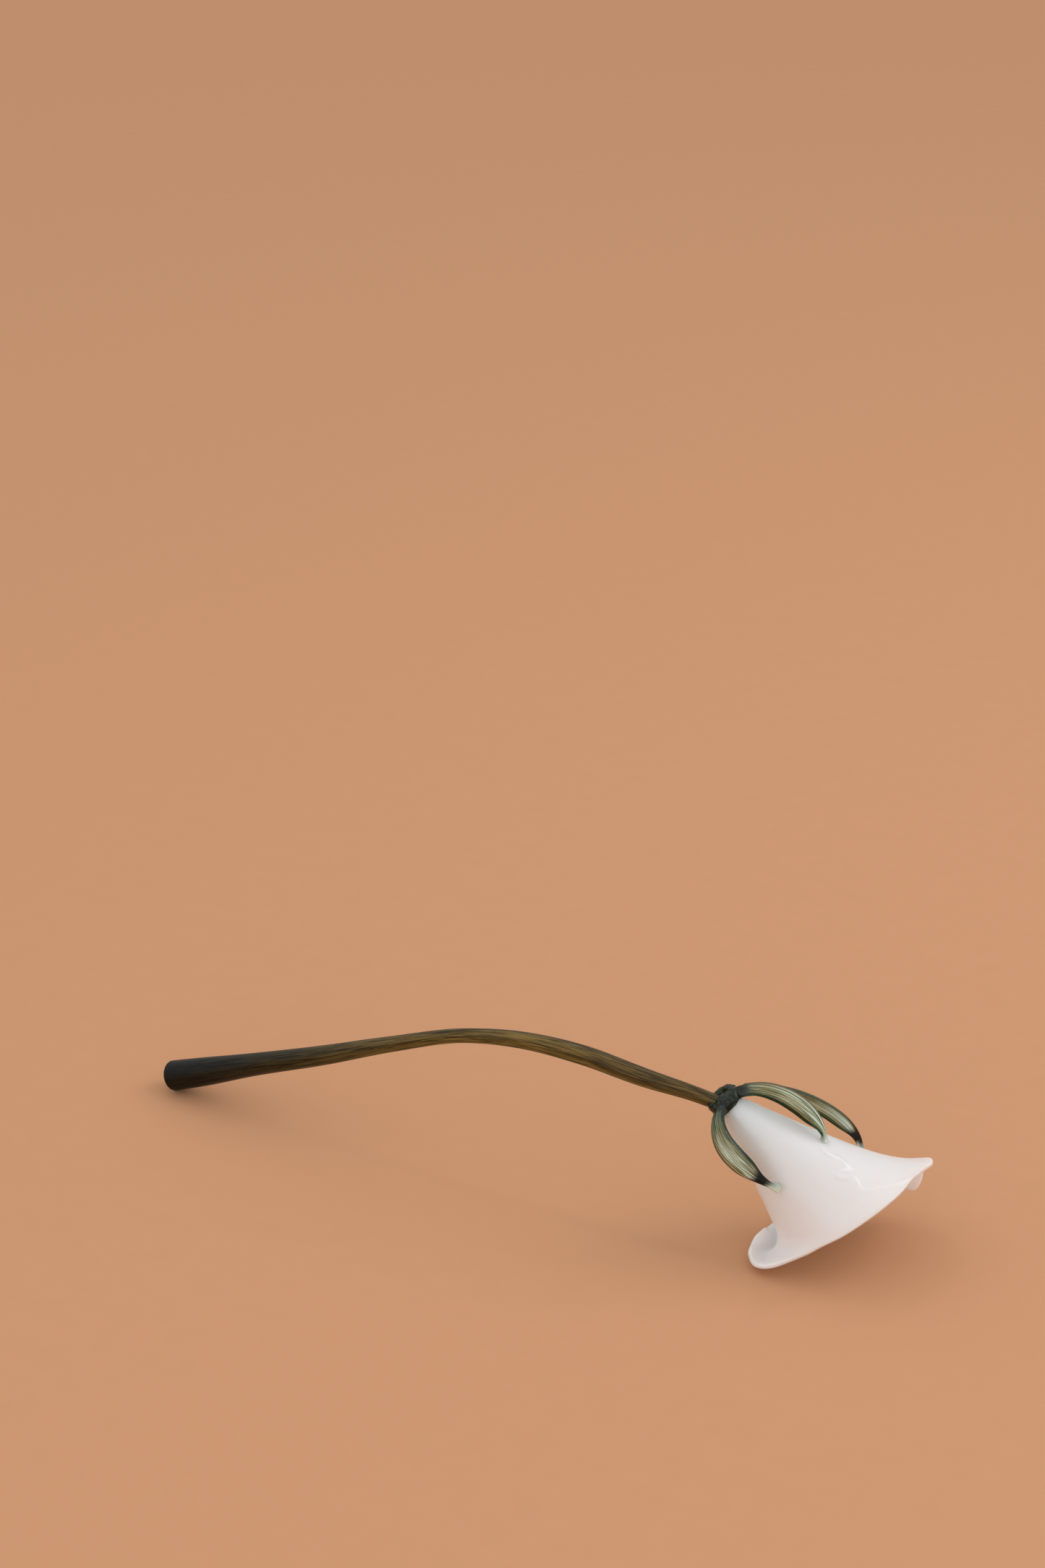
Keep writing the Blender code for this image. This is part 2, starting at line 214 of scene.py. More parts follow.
def ribbed_circle(x, z, radius, slope):
    """The rod's first ring, facing along the route, with its ribs raised."""
    bpy.ops.object.select_all(action="DESELECT")
    bpy.ops.mesh.primitive_circle_add(
        vertices=STEM_COLUMNS,
        radius=radius,
        location=(x, 0.0, z),
        rotation=(0.0, math.pi / 2 - slope, 0.0),
    )
    rod = bpy.context.object
    rod.name = "fine_stem"
    bpy.ops.object.transform_apply(location=True, rotation=True, scale=True)
    for column, share in RIB_SHAPE:
        enter_edit(rod, range(column, STEM_COLUMNS, COLUMNS_PER_RIB))
        growth = 1 + STEM_RIB_SHARE * share
        bpy.ops.transform.resize(value=(growth,) * 3, center_override=(x, 0.0, z))
        leave_edit()
    return rod


def drawn_rod():
    """The whole rod, with how far along the table and along itself each of its rings is."""
    x, z, radius, distance = stem_stations()
    slope = np.arctan2(np.gradient(z, distance), np.gradient(x, distance))
    rod = ribbed_circle(x[0], z[0], radius[0], slope[0])
    enter_edit(rod)
    for ring in range(1, len(x)):
        step = (x[ring] - x[ring - 1], 0.0, z[ring] - z[ring - 1])
        centre = (x[ring], 0.0, z[ring])
        bpy.ops.mesh.extrude_region_move(TRANSFORM_OT_translate={"value": step})
        bpy.ops.transform.rotate(
            value=slope[ring] - slope[ring - 1], orient_axis="Y", center_override=centre
        )
        growth = radius[ring] / radius[ring - 1]
        bpy.ops.transform.resize(value=(growth,) * 3, center_override=centre)
    leave_edit()
    inwards = Vector((math.cos(slope[0]), 0.0, math.sin(slope[0])))
    close_end(rod, range(STEM_COLUMNS), Vector((x[0], 0.0, z[0])), inwards, *BLUNT_END)
    last_ring = range((len(x) - 1) * STEM_COLUMNS, len(x) * STEM_COLUMNS)
    outwards = Vector((math.cos(slope[-1]), 0.0, math.sin(slope[-1])))
    close_end(rod, last_ring, Vector((x[-1], 0.0, z[-1])), -outwards, *NECK_END)
    point_faces_out(rod)
    return rod, x, distance


stem, stem_ring_x, stem_ring_distance = drawn_rod()
print("the stem is", round(1000 * stem_ring_distance[-1]), "mm long")

# %% [markdown]
# ## Where the pieces stand in the frame
# The flower's own numbers start from the point where the stem's end touches the table. The frame's
# origin is under the middle of the flower's box. The step from one to the other isn't written down:
# the fine stem has just been built in its own numbers, so the difference between its lowest corner
# and that of the frame's stem is the step.

# %% The step from the flower's numbers to the frame's
corners = np.array([vertex.co for vertex in stem.data.vertices])
stem_low, stem_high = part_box("stem")
step_to_frame = Vector((
    stem_low.x - corners[:, 0].min(),
    (stem_low.y + stem_high.y) / 2,
    stem_low.z - corners[:, 2].min(),
))
print("step to the frame:", [round(value, 5) for value in step_to_frame])


def move_to_frame(piece, place):
    """Puts a finished piece in its place, and the place in its mesh."""
    pick_only(piece)
    piece.matrix_world = Matrix.Translation(step_to_frame) @ place
    bpy.ops.object.transform_apply(location=True, rotation=True, scale=True)


# %% [markdown]
# ## A grain that follows the glass
# Streaks in drawn glass run along it, also round bends, so a pattern in the object's own coordinates
# would cut across them. Each vertex is therefore told where it was before the bending: how far
# round, and how far along. The materials read that from an attribute called grain. It goes on before
# the surface is subdivided, because subdividing carries it to the new vertices.

# %% Writing the grain
def write_vectors(piece, name, vectors):
    attribute = piece.data.attributes.new(name, "FLOAT_VECTOR", "POINT")
    attribute.data.foreach_set("vector", np.asarray(vectors, np.float32).ravel())


def write_numbers(piece, name, numbers):
    attribute = piece.data.attributes.new(name, "FLOAT", "POINT")
    attribute.data.foreach_set("value", np.asarray(numbers, np.float32))


def grain_the_stem(rod, ring_x, distance):
    """The rings came first, so a vertex's number says where it is. The two closed ends came last."""
    rings = len(distance)
    number = np.arange(len(rod.data.vertices))
    ring = np.minimum(number // STEM_COLUMNS, rings - 1)
    ends = slice(rings * STEM_COLUMNS, None)
    end_x = np.array([vertex.co.x for vertex in rod.data.vertices])[ends]
    ring[ends] = np.where(end_x < ring_x.mean(), 0, rings - 1)
    turn = 2 * np.pi * (number % STEM_COLUMNS) / STEM_COLUMNS
    write_vectors(rod, "grain", np.stack([np.cos(turn), np.sin(turn), distance[ring]], axis=1))


grain_the_stem(stem, stem_ring_x, stem_ring_distance)
smooth_subdivide(stem, 1)
move_to_frame(stem, Matrix.Identity(4))
finish_surface(stem)

# %% [markdown]
# ## The bloom: a blown trumpet
# The trumpet leaves its neck as a cone, flares towards the mouth, and ends in a lip that is rolled
# right back at two lobes and hangs down beside the tip. Its mouth is cut on the slant, so no two of its
# profiles are alike, and a turned shape would not do. It starts as an open tube that is pulled up
# ring by ring. Then each of its columns is bent to its own profile: a line whose heading is the throat's
# angle, plus the flare's, plus the lip's turn. Solidify gives it its wall, and subdividing afterwards
# rounds the lip as fire does.

# %% The trumpet's profiles
NECK_PLACE = (0.347, 0.0, 0.0827)
# How far the flower's axis dips and turns, and how far its tip is rolled round it, in degrees
HEAD_PITCH = 44
HEAD_YAW = 13
TIP_ROLL = 31.7
WALL = 0.0026
NECK_RADIUS = 0.0060
NECK_DOME = 0.0022
NECK_DOME_RINGS = (20, 40, 62)
NECK_POINT = NECK_DOME / 12
THROAT_ANGLE = 19.7
# The throat opens this much more on the tip's side and this much less opposite it, in degrees
LEAN = 1.8
FLARE_ANGLE = 19
FLARE_LENGTH = 0.100
FLARE_POWER = 5
# Round the mouth from its tip past the near side: angle, length of the wall before the lip, length
# of the lip, how far the lip turns outwards, and how soon: 1 is an even turn, and with 2.5 most of
# it comes right after the wall
MOUTH = [
    (-48, 0.093, 0.008, 0, 1.0),
    (-32, 0.099, 0.024, -75, 1.0),
    (-18, 0.104, 0.011, -15, 1.0),
    (-6, 0.105, 0.007, 5, 1.0),
    (4, 0.104, 0.008, 10, 1.0),
    (20, 0.099, 0.006, 5, 1.0),
    (57, 0.091, 0.006, 5, 1.0),
    (98, 0.084, 0.006, 5, 1.0),
    (132, 0.076, 0.010, 25, 1.0),
    (156, 0.0705, 0.017, 70, 1.0),
    (172, 0.0677, 0.0263, 115, 1.0),
    (184, 0.0703, 0.0240, 138, 1.1),
    (193, 0.0757, 0.0198, 150, 1.7),
    (203, 0.0797, 0.0172, 170, 2.5),
    (214, 0.0790, 0.0137, 165, 2.5),
    (225, 0.0765, 0.0140, 135, 1.5),
    (238, 0.0740, 0.0160, 110, 1.0),
    (266, 0.084, 0.008, 20, 1.0),
]
MOUTH_COLUMNS = 180
WALL_ROWS = 48
LIP_ROWS = 16
# Above 1, the lip's rows stand closer together where it leaves the wall
LIP_ROW_CROWDING = 1.4
PROFILE_STEPS = 400


def wall_profile(angle):
    """The wall's outer side at this angle, as rows of (along, out), and the distance to each row."""
    table = np.array(MOUTH)
    knots = np.concatenate([table[:, 0] - 360, table[:, 0], table[:, 0] + 360])
    wall, lip, turn, haste = smooth_through(knots, np.tile(table[:, 1:], (3, 1)), [angle])[0]
    distance = np.linspace(0, wall + lip, PROFILE_STEPS)
    flare = FLARE_ANGLE * (np.minimum(distance, wall) / FLARE_LENGTH) ** FLARE_POWER
    bend = 1 - (1 - np.clip((distance - wall) / lip, 0, 1)) ** haste
    throat = THROAT_ANGLE + LEAN * math.cos(math.radians(angle))
    heading = np.radians(throat + flare + turn * bend)
    step = distance[1]
    along = np.concatenate([[0.0], np.cumsum(np.cos(heading[:-1]) * step)])
    out = NECK_RADIUS + np.concatenate([[0.0], np.cumsum(np.sin(heading[:-1]) * step)])
    lip_rows = np.linspace(0, 1, LIP_ROWS + 1)[1:] ** LIP_ROW_CROWDING
    rows = np.concatenate([np.linspace(0, wall, WALL_ROWS + 1), wall + lip * lip_rows])
    return np.interp(rows, distance, along), np.interp(rows, distance, out), rows


# %% A tube pulled up and bent to shape
def pulled_tube(name, columns, rings):
    """An open tube one unit in radius, with its rings one unit apart."""
    bpy.ops.object.select_all(action="DESELECT")
    bpy.ops.mesh.primitive_circle_add(vertices=columns, radius=1.0)
    tube = bpy.context.object
    tube.name = name
    enter_edit(tube)
    for _ in range(rings - 1):
        bpy.ops.mesh.extrude_region_move(TRANSFORM_OT_translate={"value": (0.0, 0.0, 1.0)})
    leave_edit()
    return tube


def place_vertices(piece, places):
    piece.data.vertices.foreach_set("co", np.asarray(places, np.float32).ravel())
    piece.data.update()


def trumpet_places(rows):
    """Ring by ring, where the trumpet's vertices are, with how far each is from the neck."""
    columns = np.arange(MOUTH_COLUMNS) * 360 / MOUTH_COLUMNS
    turn = np.radians(columns)
    profiles = [wall_profile(angle) for angle in columns]
    rings = []
    distances = []
    for bend in np.radians(NECK_DOME_RINGS):
        out = np.full(MOUTH_COLUMNS, NECK_RADIUS * math.sin(bend))
        along = np.full(MOUTH_COLUMNS, -NECK_DOME * math.cos(bend))
        rings.append(np.stack([out * np.cos(turn), out * np.sin(turn), along], axis=1))
        distances.append(along)
    for row in range(rows):
        along = np.array([profile[0][row] for profile in profiles])
        out = np.array([profile[1][row] for profile in profiles])
        rings.append(np.stack([out * np.cos(turn), out * np.sin(turn), along], axis=1))
        distances.append(np.array([profile[2][row] for profile in profiles]))
    return np.array(rings), np.array(distances)


def bent_trumpet(name, rows):
    rings, distances = trumpet_places(rows)
    tube = pulled_tube(name, MOUTH_COLUMNS, len(rings))
    place_vertices(tube, rings)
    turn = np.tile(2 * np.pi * np.arange(MOUTH_COLUMNS) / MOUTH_COLUMNS, len(rings))
    write_vectors(tube, "grain", np.stack([np.cos(turn), np.sin(turn), distances.ravel()], axis=1))
    enter_edit(tube, range(MOUTH_COLUMNS))
    bpy.ops.mesh.extrude_region_move(TRANSFORM_OT_translate={"value": (0.0, 0.0, -NECK_POINT)})
    bpy.ops.mesh.merge(type="CENTER")
    leave_edit()
    point_faces_out(tube)
    return tube


def head_place():
    """Turns +Z to the flower's axis, +X to its tip and +Y to its near side, at the neck."""
    pitch = math.radians(HEAD_PITCH)
    yaw = math.radians(HEAD_YAW)
    axis = Vector((math.cos(pitch) * math.cos(yaw), math.cos(pitch) * math.sin(yaw), -math.sin(pitch)))
    top = (Vector((0, 0, 1)) - axis * axis.z).normalized()
    tip = Matrix.Rotation(math.radians(-TIP_ROLL), 3, axis) @ top
    turn = Matrix((tip, axis.cross(tip), axis)).transposed()
    return Matrix.Translation(NECK_PLACE) @ turn.to_4x4()


# %% [markdown]
# ## A trail that ran down from a sepal
# Where the sepal on the near side was pressed on, a thread of hot clear glass ran down the trumpet in a
# zigzag and on to the tip. It stands a fraction of a millimetre proud and shines. The thread's line is
# given on the trumpet, as an angle and a distance from the neck. Each vertex near it is moved out, and
# is told how near it is, so that the material can make the thread glossy and paint a whiter highlight
# along it.

# %% The trail on the trumpet
# Angle round the axis and distance from the neck
TRAIL = [
    (40, 0.0515), (45, 0.0535), (48, 0.0570), (46, 0.0610), (47.5, 0.0660), (50, 0.0685), (56, 0.0672),
    (63, 0.0660), (64.5, 0.0675), (61, 0.0712), (57, 0.0740), (60, 0.0765), (63, 0.0800),
    (61, 0.0845), (54, 0.0868), (48, 0.0905), (43, 0.0955), (36, 0.0990), (29, 0.1020),
]
TRAIL_HALF_WIDTH = 0.0013
TRAIL_HEIGHT = 0.0006
# Past this distance from the neck the thread is thinner
TRAIL_FADES_FROM = 0.0775
TRAIL_FADED = 0.6
TRAIL_STEPS = 240
# Beyond this many half widths from its middle the thread raises nothing
TRAIL_SPREAD = 3


def trail_points():
    knots = np.arange(len(TRAIL))
    line = smooth_through(knots, np.array(TRAIL), np.linspace(0, knots[-1], TRAIL_STEPS))
    points = []
    for angle, distance in line:
        along, out, rows = wall_profile(angle)
        reach = np.interp(distance, rows, out)
        turn = math.radians(angle)
        points.append((reach * math.cos(turn), reach * math.sin(turn), np.interp(distance, rows, along)))
    return points, line[:, 1]


def raise_trail(piece):
    points, distances = trail_points()
    tree = KDTree(len(points))
    for index, point in enumerate(points):
        tree.insert(point, index)
    tree.balance()
    nearness = np.zeros(len(piece.data.vertices))
    for vertex in piece.data.vertices:
        _, index, gap = tree.find(vertex.co)
        if gap < TRAIL_SPREAD * TRAIL_HALF_WIDTH:
            strength = 1.0 if distances[index] < TRAIL_FADES_FROM else TRAIL_FADED
            nearness[vertex.index] = strength * math.exp(-((gap / TRAIL_HALF_WIDTH) ** 2))
    normals = np.array([vertex.normal for vertex in piece.data.vertices])
    places = np.array([vertex.co for vertex in piece.data.vertices])
    places = places + normals * (nearness * TRAIL_HEIGHT)[:, None]
    write_numbers(piece, "trail", nearness)
    place_vertices(piece, places)
    print("the trail touches", int((nearness > 0.1).sum()), "vertices")


# %% The bloom gets its wall
bloom = bent_trumpet("fine_bloom", WALL_ROWS + LIP_ROWS + 1)
raise_trail(bloom)
apply_modifier(bloom, "wall", "SOLIDIFY", thickness=WALL, offset=-1.0, use_even_offset=True)
smooth_subdivide(bloom, 1)
move_to_frame(bloom, head_place())
finish_surface(bloom)

# %% [markdown]
# ## The calyx: a wound collar and four drawn sepals
# A trail of dark green glass is wound round the joint, and four straps are pulled out of it with
# tweezers. Each strap is cupped and combed into fine ribs, arches clear of the white glass, gets
# narrow, and is pressed down on the bloom with a small foot. A strap is a loft along a Bezier curve,
# from a section that changes on the way, so it is made like the trumpet: a tube is pulled up, and its
# rings are placed along the curve.

# %% The sepals' lines
# Angle round the axis, twist, width against the sections below, and as (along the axis, out from
# it) the handle at the root, the handle at the foot and the foot
SEPALS = [
    (30, 36, 0.94, (0.002, 0.0305), (0.038, 0.0375), (0.0485, 0.0242)),
    (125, -12, 1.0, (-0.004, 0.0405), (0.024, 0.040), (0.0465, 0.0230)),
    (-22, -10, 1.1, (0.013, 0.0365), (0.064, 0.053), (0.0735, 0.0345)),
    (250, 0, 1.0, (0.002, 0.028), (0.034, 0.033), (0.047, 0.0235)),
]
# Along the axis and out from it
SEPAL_ROOT = (-0.001, 0.006)
# Share of the length, half the width, thickness, depth of the cup
SEPAL_SECTIONS = [
    (0.0, 0.0036, 0.0042, 0.0),
    (0.16, 0.0041, 0.0030, 0.0008),
    (0.36, 0.0054, 0.0022, 0.0024),
    (0.55, 0.0060, 0.0020, 0.0032),
    (0.71, 0.0054, 0.0021, 0.0026),
    (0.86, 0.0025, 0.0028, 0.0006),
    (0.94, 0.0017, 0.0035, 0.0),
    (1.0, 0.0026, 0.0050, 0.0),
]
SEPAL_RIBS = 10
SEPAL_RIB_HEIGHT = 0.00022
SEPAL_COLUMNS = 120
SEPAL_RINGS = 60


def bezier(points, share):
    weights = [(1 - share) ** 3, 3 * share * (1 - share) ** 2, 3 * share**2 * (1 - share), share**3]
    return sum(weight[:, None] * np.array(point) for weight, point in zip(weights, points))


def sepal_middle(angle, twist, handles, share):
    """Places along a sepal's middle, and the directions outwards and across it there."""
    path = bezier([SEPAL_ROOT, *handles], share)
    course = np.gradient(path, share, axis=0)
    course /= np.linalg.norm(course, axis=1)[:, None]
    turn = math.radians(angle)
    outwards = np.array([math.cos(turn), math.sin(turn), 0.0])
    across = np.array([-math.sin(turn), math.cos(turn), 0.0])
    axis = np.array([0.0, 0.0, 1.0])
    middle = path[:, :1] * axis + path[:, 1:] * outwards
    normal = course[:, :1] * outwards - course[:, 1:] * axis
    twist = math.radians(twist)
    twisted_normal = normal * math.cos(twist) + across * math.sin(twist)
    twisted_across = across * math.cos(twist) - normal * math.sin(twist)
    return middle, twisted_normal, twisted_across


# %% One sepal
def sepal_places(angle, twist, widening, handles):
    """Ring by ring, where a sepal's vertices are, its middle, and how far across and along they are."""
    share = np.linspace(0, 1, SEPAL_RINGS)
    middle, normal, across = sepal_middle(angle, twist, handles, share)
    table = np.array(SEPAL_SECTIONS)
    half_width, thickness, cup = smooth_through(table[:, 0], table[:, 1:], share).T
    half_width = half_width * widening
    turn = 2 * np.pi * np.arange(SEPAL_COLUMNS) / SEPAL_COLUMNS
    place = np.cos(turn)
    side = np.sin(turn)
    rib = np.where(side > 0, np.cos(np.pi * SEPAL_RIBS * place) * side, 0)
    ribbed = SEPAL_RIB_HEIGHT * np.sin(np.pi * share)
    height = thickness[:, None] / 2 * side + ribbed[:, None] * rib - cup[:, None] * place**2
    rings = (
        middle[:, None]
        + across[:, None] * (half_width[:, None] * place)[:, :, None]
        + normal[:, None] * height[:, :, None]
    )
    return rings, middle, place, share


def sepal(number, angle, twist, widening, *handles):
    """A closed strap, with its vertices' places and their grain: across, along and its number."""
    rings, middle, place, share = sepal_places(angle, twist, widening, handles)
    strap = pulled_tube(f"sepal_{number}", SEPAL_COLUMNS, SEPAL_RINGS)
    place_vertices(strap, rings)
    for first in (0, (SEPAL_RINGS - 1) * SEPAL_COLUMNS):
        enter_edit(strap, range(first, first + SEPAL_COLUMNS))
        bpy.ops.mesh.edge_face_add()
        leave_edit()
    point_faces_out(strap)
    length = np.linalg.norm(np.diff(middle, axis=0), axis=1).sum()
    grid = rings.shape[:2]
    across = np.broadcast_to(place, grid)
    along = np.broadcast_to(share[:, None], grid)
    grain = np.stack([across, along, np.full(grid, float(number))], axis=2)
    print(f"sepal {number} is {1000 * length:.0f} mm long")
    return strap, rings.reshape(-1, 3), grain.reshape(-1, 3)


# %% The wound collar
COLLAR_RADIUS = 0.0098
COLLAR_LENGTH = 0.0100
# Radius of the bead under the winds, as a share of the collar's
BEAD_SHARE = 0.94
# Height on the axis, radius of the wind, radius of its thread and tilt in degrees
COLLAR_WINDS = ((-0.0026, 0.0066, 0.0026, 16), (0.0012, 0.0070, 0.0025, -12))
COLLAR_SEGMENTS = 96


def collar():
    """A flattened bead with two winds of the trail standing out of it."""
    bpy.ops.object.select_all(action="DESELECT")
    bpy.ops.mesh.primitive_uv_sphere_add(
        segments=COLLAR_SEGMENTS, ring_count=COLLAR_SEGMENTS // 2, radius=1.0
    )
    bead = bpy.context.object
    bead.name = "fine_calyx"
    enter_edit(bead)
    bead_radius = BEAD_SHARE * COLLAR_RADIUS
    bpy.ops.transform.resize(value=(bead_radius, bead_radius, COLLAR_LENGTH / 2))
    leave_edit()
    winds = []
    for height, reach, thickness, tilt in COLLAR_WINDS:
        bpy.ops.object.select_all(action="DESELECT")
        bpy.ops.mesh.primitive_torus_add(
            major_segments=COLLAR_SEGMENTS,
            minor_segments=COLLAR_SEGMENTS // 4,
            major_radius=reach,
            minor_radius=thickness,
            location=(0.0, 0.0, height),
            rotation=(math.radians(tilt), 0.0, 0.0),
        )
        winds.append(bpy.context.object)
        bpy.ops.object.transform_apply(location=True, rotation=True, scale=True)
    return bead, winds


# %% The sepals are fused to the collar
def fuse(piece, others):
    """Joins closed meshes to this one as molten glass joins, and removes them."""
    for other in others:
        apply_modifier(piece, "fuse", "BOOLEAN", operation="UNION", object=other)
        bpy.data.objects.remove(other, do_unlink=True)


calyx, winds = collar()
straps = []
grain_places = []
grain_values = []
for number, line in enumerate(SEPALS):
    strap, places, values = sepal(number, *line)
    straps.append(strap)
    grain_places.append(places)
    grain_values.append(values)
fuse(calyx, winds + straps)
print("the fused calyx has", len(calyx.data.polygons), "faces")

# %% [markdown]
# ## The feet stop at the white glass
# Each foot is pressed a hair into the hot trumpet, and none comes out on its inner side. So the room
# that the trumpet takes up, a hair smaller than its outer side and filled from neck to lip, is cut
# out of the calyx. The grain is written last, from the nearest place on the sepals as they were
# before, because cutting makes new vertices.

# %% Cutting the calyx to the bloom
PRESSED_IN = 0.0004
# The collar's mask is this high in its middle and falls this much over its size
COLLAR_MASK_HEIGHT = 1.5
COLLAR_MASK_FALL = 1.4
COLLAR_LUMP_HEIGHT = 0.0008
COLLAR_LUMPS_PER_METRE = 450
# Lower than elsewhere, which keeps the seams round the sepals' roots crisp
CALYX_SHARP_ANGLE = 50


def filled_trumpet():
    """The cutter. Cutting would hand its grain to the calyx, which gets its own, so it has none."""
    room = bent_trumpet("room", WALL_ROWS + 1)
    room.data.attributes.remove(room.data.attributes["grain"])
    rim = range(len(room.data.vertices) - 1 - MOUTH_COLUMNS, len(room.data.vertices) - 1)
    enter_edit(room, rim)
    bpy.ops.mesh.edge_face_add()
    leave_edit()
    apply_modifier(room, "smaller", "DISPLACE", strength=-PRESSED_IN, mid_level=0.0)
    point_faces_out(room)
    return room


def grain_the_calyx(piece, places, values):
    """Writes the grain, and a mask that is 1 on the collar and 0 on the sepals."""
    tree = KDTree(len(places))
    for index, place in enumerate(places):
        tree.insert(place, index)
    tree.balance()
    nearest = [tree.find(vertex.co)[1] for vertex in piece.data.vertices]
    write_vectors(piece, "grain", values[nearest])
    heights = np.array([vertex.co.z for vertex in piece.data.vertices])
    reach = np.array([vertex.co.xy.length for vertex in piece.data.vertices])
    size = np.hypot(heights / COLLAR_LENGTH, reach / (2 * COLLAR_RADIUS))
    collar_share = np.clip(COLLAR_MASK_HEIGHT - size * COLLAR_MASK_FALL, 0, 1)
    write_numbers(piece, "collar", collar_share)
    return collar_share


def lump_the_collar(piece, collar_share):
    """Molten glass is never quite even, and every lump gives it a glint."""
    places = []
    for vertex, share in zip(piece.data.vertices, collar_share):
        lump = noise.noise(vertex.co * COLLAR_LUMPS_PER_METRE)
        places.append(vertex.co + vertex.normal * (COLLAR_LUMP_HEIGHT * lump * share))
    place_vertices(piece, places)


room = filled_trumpet()
apply_modifier(calyx, "room", "BOOLEAN", operation="DIFFERENCE", object=room)
bpy.data.objects.remove(room, do_unlink=True)
collar_share = grain_the_calyx(calyx, np.concatenate(grain_places), np.concatenate(grain_values))
lump_the_collar(calyx, collar_share)
move_to_frame(calyx, head_place())
finish_surface(calyx, CALYX_SHARP_ANGLE)

# %% [markdown]
# ## Shader sums written as Python
# A material is a small sum of masks. Its nodes could be placed and linked by hand, but a page of links
# hides the sum. So one class wraps a socket, and masks are added and multiplied with the usual signs,
# and one method adds any other node from its settings and its inputs.

# %% The mask class
class Mask:
    """An output of a node. Where it is a number, sums can be done with it."""

    def __init__(self, nodes, socket):
        self.nodes = nodes
        self.socket = socket

    def sum(self, operation, first, second):
        return self.nodes.node("ShaderNodeMath", {"operation": operation}, {0: first, 1: second})

    def __add__(self, other):
        return self.sum("ADD", self, other)

    __radd__ = __add__

    def __mul__(self, other):
        return self.sum("MULTIPLY", self, other)

    __rmul__ = __mul__

    def __sub__(self, other):
        return self.sum("SUBTRACT", self, other)

    def __rsub__(self, other):
        return self.sum("SUBTRACT", other, self)


# %% The nodes of a material or of the room
# The Mix node's own numbers for its share and its two colours, and for the colour that comes out
MIX_SHARE, MIX_FIRST, MIX_SECOND, MIX_RESULT = 0, 6, 7, 2


class Nodes:
    """Adds nodes to a tree."""

    def __init__(self, tree):
        self.tree = tree

    def node(self, kind, settings=None, inputs=None, output=0):
        """Adds a node, gives it its settings and its inputs, and returns one of its outputs."""
        node = self.tree.nodes.new(kind)
        for setting, value in (settings or {}).items():
            setattr(node, setting, value)
        self.feed(node, inputs or {})
        return Mask(self, node.outputs[output])

    def feed(self, node, inputs):
        """Links masks to a node's sockets and sets its other values. A colour is three numbers."""
        for name, value in inputs.items():
            socket = node.inputs[name]
            if isinstance(value, Mask):
                self.tree.links.new(value.socket, socket)
            elif socket.type == "RGBA":
                socket.default_value = (*value, 1.0)
            else:
                socket.default_value = value

    def attribute(self, name, output="Fac"):
        return self.node("ShaderNodeAttribute", {"attribute_name": name}, output=output)

    def parts(self, vector):
        """The three numbers of a vector."""
        first = self.node("ShaderNodeSeparateXYZ", inputs={0: vector})
        return [Mask(self, socket) for socket in first.socket.node.outputs]

    def stretched(self, vector, scale):
        inputs = {"Vector": vector, "Scale": scale}
        return self.node("ShaderNodeMapping", {"vector_type": "POINT"}, inputs)

    def clouds(self, vector, scale, detail=2.0, roughness=0.5):
        inputs = {"Vector": vector, "Scale": scale, "Detail": detail, "Roughness": roughness}
        return self.node("ShaderNodeTexNoise", {"noise_dimensions": "3D"}, inputs)

    def between(self, mask, low, high):
        """The mask stretched so that low gives 0 and high gives 1."""
        inputs = {"Value": mask, "From Min": low, "From Max": high, "To Min": 0.0, "To Max": 1.0}
        return self.node("ShaderNodeMapRange", {"clamp": True}, inputs)

    def mix(self, share, first, second):
        """A colour between two colours."""
        inputs = {MIX_SHARE: share, MIX_FIRST: first, MIX_SECOND: second}
        return self.node("ShaderNodeMix", {"data_type": "RGBA"}, inputs, MIX_RESULT)

    def bump(self, height, strength, distance):
        return self.node(
            "ShaderNodeBump", inputs={"Height": height, "Strength": strength, "Distance": distance}
        )


# %% A material under construction
GLASS_IOR = 1.5


class Finish(Nodes):
    """A material that starts as one shader and can be covered or made to swallow light."""

    def __init__(self, name):
        self.material = bpy.data.materials.new(name)
        self.material.use_nodes = True
        super().__init__(self.material.node_tree)
        self.shader = self.tree.nodes["Principled BSDF"]
        self.output = self.tree.nodes["Material Output"]

    def cover(self, share, colour, roughness):
        """Lays a milky glass over this one, as thick as the share says."""
        looks = {"Base Color": colour, "Roughness": roughness, "IOR": GLASS_IOR}
        milk = self.node("ShaderNodeBsdfPrincipled", inputs=looks)
        glass = Mask(self, self.shader.outputs[0])
        covered = self.node("ShaderNodeMixShader", inputs={0: share, 1: glass, 2: milk})
        self.feed(self.output, {"Surface": covered})

    def absorb(self, colour, density):
        """Glass that swallows light on its way through. Both values are the same everywhere."""
        volume = self.node("ShaderNodeVolumeAbsorption", inputs={"Color": colour, "Density": density})
        self.feed(self.output, {"Volume": volume})


# %% [markdown]
# ## Olive glass for the stem
# The rod is green glass that lets the table's colour through, which is why it looks brown. It swallows
# light on the way, so it is nearly black where it is thick. Streaks of darker glass run along it.
# Painting each streak would fix them at one size, so a noise pattern that is stretched along the grain
# gives them, and its two colours change with the thickness of the rod.

# %% The stem's material
# Fine wrinkles scatter much of the reflection away, which an index below that of glass stands in for
WRINKLED_IOR = 1.28
# The darkest and the lightest streaks at the thick end
OLIVE_THICK = ((0.001, 0.001, 0.0), (0.015, 0.014, 0.006))
# From and to how far along the rod they change, and to which streaks
OLIVE_CHANGES = [
    (0.02, 0.10, (0.012, 0.009, 0.002), (0.11, 0.085, 0.020)),
    (0.09, 0.20, (0.035, 0.024, 0.004), (0.42, 0.30, 0.080)),
    (0.25, 0.31, (0.035, 0.022, 0.004), (0.30, 0.21, 0.055)),
]
OLIVE_LETS_THROUGH = (0.50, 0.55, 0.30)
OLIVE_DENSITY = 80.0


